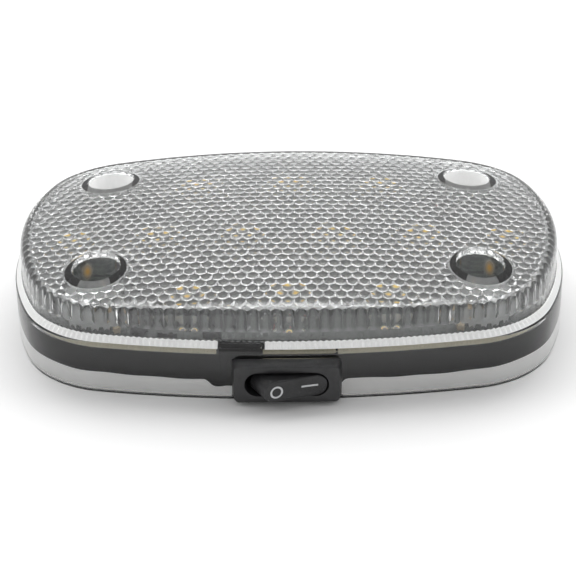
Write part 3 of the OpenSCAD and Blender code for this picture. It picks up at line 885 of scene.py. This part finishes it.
wearing = {
    "board": ["circuit_board"],
    "phosphor": ["phosphor_%02d" % i for i in range(1, 13)],
    "ledBody": ["led_%02d" % i for i in range(1, 13)],
    "chipBlack": ["driver_ic", "bridge_rectifier", "surge_suppressor", "ballast_resistors"],
    "ferrite": ["power_inductor"],
    "ceramic": ["filter_capacitors"],
    "acetal": ["plunger"],
    "spring": ["plunger_spring"],
    "brass": ["contact_blade"],
    "tinned": ["terminal_common", "terminal_switched"],
    "wireRed": ["wire_feed"],
    "wireBlack": ["wire_return"],
    "solder": ["solder_joints"],
    "rubber": ["cable_grommet"],
}
for finish, nodes in wearing.items():
    for node in nodes:
        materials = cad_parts[node].data.materials
        if not materials:
            materials.append(finishes[finish])
        for i in range(len(materials)):
            materials[i] = finishes[finish]

# the sawn tongue of laminate that closes the board's slot above the switch
tongue = {
    "ends": (-13.2, 12.2),
    "height": (12.5, 13.38),
    "inset": (2.62, 3.8),
    "rounding": 0.03,
}
boardTongue = frontStrip("boardTongue", tongue)
boardTongue.data.materials.append(finishes["board"])
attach(boardTongue, "lamp")
print("scene: packed pieces finished")


# rocker switch
switchCase = {
    "x": -0.5,
    "z": 6.5,
    "pivot": -46.2,
    "face": -51.7,
    "land": -47.92,
    "back": -36.6,
    "inside": -38.2,
    "neck": (23.3, 9.0),
    "neckCorner": 0.8,
    "backWidth": 28.0,
    "backHeight": 11.1,
    "frontWidth": 26.8,
    "frontHeight": 10.5,
    "frontRound": 0.35,
    "corner": 1.3,
    "openingLength": 21.3,
    "openingHeight": 6.7,
}
rockerShape = {
    "length": 16.7,
    "height": 5.9,
    "reach": 8.2,
    "dip": 0.7,
    "flare": 1.7,
    "edge": 0.35,
    "root": (-1.2, -1.5),
    "middle": (0.8, 0.6, 0.4, 0.2),
    "rest": 17.0,
}
marks = {
    "ring": {"x": -5.0, "z": -0.1, "width": 3.5, "stroke": 0.55},
    "bar": {"x0": 1.6, "x1": 5.9, "z": 0.2, "stroke": 0.55},
    "lift": 0.03,
    "sink": -0.02,
    "bevel": 0.04,
}


def roundedLoop(w, h, r, count=10):
    points = []
    far, high = w/2 - r, h/2 - r
    for cx, cz, start in ((far, high, 0), (-far, high, 90), (-far, -high, 180), (far, -high, 270)):
        for k in range(count + 1):
            a = math.radians(start + 90*k/count)
            points.append((cx + r*math.cos(a), cz + r*math.sin(a)))
    return np.array(points)


def obroundLoop(l, h, count=24):
    # straight sides and half-round ends
    return roundedLoop(l, h, h/2 - 0.001, count)


def switchPlastic(name, dark, light, rough, grain):
    # black moulded nylon with a fine spark grain, its sharp edges painted slightly paler as a painted edge
    # highlight
    material, tree, shader = nodeTree(name)
    at = place(tree)
    drift = noise(tree, at, 0.5, 4)
    fine = noise(tree, at, grain, 6, 0.65)
    geometry = addNode(tree, "ShaderNodeNewGeometry")
    # painted highlight: paler colour on sharp convex edges, where light catches them
    paintedEdgeHighlight = ramp(tree, geometry.outputs["Pointiness"], [(0.52, (0, 0, 0)), (0.62, (0.05, 0.05, 0.052))])
    base = ramp(tree, drift, [(0.3, dark), (0.7, light)])
    mix = addNode(tree, "ShaderNodeMix", {"Factor": 0.6}, data_type="RGBA", blend_type="ADD")
    link(tree, base, mix.inputs["A"])
    link(tree, paintedEdgeHighlight, mix.inputs["B"])
    link(tree, mix.outputs["Result"], shader.inputs["Base Color"])
    link(tree, spread(tree, fine, *rough), shader.inputs["Roughness"])
    bump(tree, fine, shader, 0.35, 0.00003)
    return material


casePlastic = switchPlastic("switchNylon", (0.014, 0.014, 0.015), (0.024, 0.024, 0.025), (0.34, 0.5), 7.0)
rockerPlastic = switchPlastic("rockerNylon", (0.01, 0.01, 0.011), (0.018, 0.018, 0.019), (0.22, 0.36), 9.0)
markPaint = grainedFinish("markPaint", (0.5, 0.51, 0.52), (0.68, 0.69, 0.7), (0.4, 0.6),
                          grain=8.0, depth=0.00002)


def faceDepth(x, lift=0.0):
    # the hollowed face of the key, before its rest tilt
    key = rockerShape
    return -key["reach"] + key["dip"]*(1 - (2*x/key["length"])**2) - lift


def buildRocker(sizes, material):
    # obround key with a hollowed face; local x along the switch, y outwards negative
    length, height, reach, e = sizes["length"], sizes["height"], sizes["reach"], sizes["edge"]

    def ring(l, h, y, follow=1):
        x, z = obroundLoop(l, h).T
        depth = sizes["dip"]*(1 - (2*x/length)**2)*follow
        return np.column_stack([x, np.full(len(x), y) + depth, z])

    rings = [ring(length + 2*sizes["flare"], height, y, 0) for y in sizes["root"]]
    rings += [ring(length + 0.12, height, -reach + e + 0.15),
              ring(length - 0.1, height - 0.1, -reach + e*0.45),
              ring(length - e, height - e, -reach + 0.08),
              ring(length - 2*e, height - 2*e, -reach)]
    for share in sizes["middle"]:
        x, z = obroundLoop(length - 2*e, height - 2*e).T*share
        rings.append(np.column_stack([x, faceDepth(x), z]))
    key = loftRings("rockerKey", rings, material, 32)
    faceOut(key)
    return key


def tilt(piece):
    # from the switch's own frame to the lamp's, with the rocker at rest
    turn = Matrix.Rotation(math.radians(rockerShape["rest"]), 4, "Z")
    move = Matrix.Translation(Vector((switchCase["x"], switchCase["pivot"], switchCase["z"]))*mm)
    piece.data.transform(move @ turn)
    return piece


rockerKey = tilt(buildRocker(rockerShape, rockerPlastic))
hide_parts("rocker")
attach(rockerKey, "rocker")


def printedRing(sizes, material):
    # each turn gives four points across the stroke: its two edges, a hair under the face, and its top
    ring = sizes["ring"]
    outer, inner, bevel = ring["width"]/2, ring["width"]/2 - ring["stroke"], sizes["bevel"]
    across = ((outer, sizes["sink"]), (outer - bevel, sizes["lift"]), (inner + bevel, sizes["lift"]),
              (inner, sizes["sink"]))
    points, faces = [], []
    count = 48
    for k in range(count):
        a = 2*math.pi*k/count
        for radius, lift in across:
            x = ring["x"] + radius*math.cos(a)
            points.append((x, faceDepth(x, lift), ring["z"] + radius*math.sin(a)))
        n = (k + 1) % count
        for m in range(4):
            q = (m + 1) % 4
            faces.append((4*k + m, 4*n + m, 4*n + q, 4*k + q))
    return wrapMesh("ringMark", points, faces, material, 50)


def printedBar(sizes, material):
    bar = sizes["bar"]
    half, bevel = bar["stroke"]/2, sizes["bevel"]
    across = ((-half, sizes["sink"]), (-half + bevel, sizes["lift"]), (half - bevel, sizes["lift"]),
              (half, sizes["sink"]))
    points, faces = [], []
    steps = 16
    for k in range(steps + 1):
        x = bar["x0"] + (bar["x1"] - bar["x0"])*k/steps
        for z, lift in across:
            points.append((x, faceDepth(x, lift), bar["z"] + z))
    for k in range(steps):
        for m in range(4):
            q = (m + 1) % 4
            faces.append((4*k + m, 4*k + q, 4*k + 4 + q, 4*k + 4 + m))
    faces += [(0, 3, 2, 1), tuple(4*steps + m for m in range(4))]
    return wrapMesh("barMark", points, faces, material, 50)


for mark in (printedRing(marks, markPaint), printedBar(marks, markPaint)):
    tilt(mark)
    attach(mark, "rocker")


def buildCase(sizes, material):
    # case and tapered bezel with a softened front edge and an obround opening, lofted as one closed shell
    x, z, count = sizes["x"], sizes["z"], 24

    def at(loop, y):
        return np.column_stack([x + loop[:, 0], np.full(len(loop), y), z + loop[:, 1]])

    def outer(w, h, y, r):
        return at(roundedLoop(w, h, r, count), y)

    def inner(grow, y):
        return at(obroundLoop(sizes["openingLength"] + 2*grow, sizes["openingHeight"] + 2*grow, count), y)

    back, land, face = sizes["back"], sizes["land"], sizes["face"]
    neckWide, neckHigh = sizes["neck"]
    backWide, backHigh = sizes["backWidth"], sizes["backHeight"]
    wide, high = sizes["frontWidth"], sizes["frontHeight"]
    e, r, neckCorner = sizes["frontRound"], sizes["corner"], sizes["neckCorner"]
    rings = [outer(neckWide - 0.3, neckHigh - 0.3, back, neckCorner),
             outer(neckWide, neckHigh, back - 0.3, neckCorner),
             outer(neckWide, neckHigh, land, neckCorner),
             outer(backWide, backHigh, land, r),
             outer(backWide, backHigh, land - 0.4, r),
             outer(wide + 0.1, high + 0.05, face + e, r),
             outer(wide - 0.15, high - 0.15, face + e*0.3, r - 0.1),
             outer(wide - e*1.4, high - e*1.4, face, r - 0.3),
             inner(0.3, face),
             inner(0.08, face + 0.08),
             inner(0, face + 0.3),
             inner(0, sizes["inside"])]
    shell = loftRings("switchCase", rings, material, 32)
    faceOut(shell)
    return shell


switchShell = buildCase(switchCase, casePlastic)
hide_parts("switch_body")
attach(switchShell, "lamp")
print("scene: rocker switch")


# floor and studio light
studio = {
    "floor": (0.84, 0.84, 0.84),
    "world": 0.58,
    "lamps": [
        {"name": "backOverhead", "place": (0.0, 0.75, 1.0), "size": (1.7, 1.0), "power": 17.0},
        {"name": "leftSoft", "place": (-1.1, 0.2, 0.8), "size": (0.7, 0.7), "power": 4.0},
        {"name": "rightSoft", "place": (1.1, 0.2, 0.8), "size": (0.7, 0.7), "power": 3.5},
    ],
}


def layFloor(shade):
    bpy.ops.mesh.primitive_plane_add(size=6)
    floor = bpy.context.object
    floor.name = "floor"
    material, tree, shader = nodeTree("paleFloor")
    tone = noise(tree, place(tree, 10.0), 1.0, 2)
    tint = ramp(tree, tone, [(0.3, shade), (0.7, tuple(v*0.99 for v in shade))])
    link(tree, tint, shader.inputs["Base Color"])
    shader.inputs["Roughness"].default_value = 0.7
    shader.inputs["Specular IOR Level"].default_value = 0.2
    floor.data.materials.append(material)


def hangLamp(lamp):
    light = bpy.data.lights.new(lamp["name"], "AREA")
    light.shape = "RECTANGLE"
    light.size, light.size_y = lamp["size"]
    light.energy = lamp["power"]
    piece = bpy.data.objects.new(lamp["name"], light)
    bpy.context.scene.collection.objects.link(piece)
    spot = Vector(lamp["place"])
    piece.location = spot
    piece.rotation_euler = (-spot).to_track_quat("-Z", "Y").to_euler()
    piece.visible_glossy = False  # no mirror image of the lamp in the crown


def buildStudio(sizes):
    bpy.context.scene.view_settings.view_transform = "Standard"
    layFloor(sizes["floor"])
    world = bpy.data.worlds.new("studioWorld")
    bpy.context.scene.world = world
    world.use_nodes = True
    background = world.node_tree.nodes["Background"]
    background.inputs["Color"].default_value = (1, 1, 1, 1)
    background.inputs["Strength"].default_value = sizes["world"]
    for lamp in sizes["lamps"]:
        hangLamp(lamp)


buildStudio(studio)
print("scene: studio")
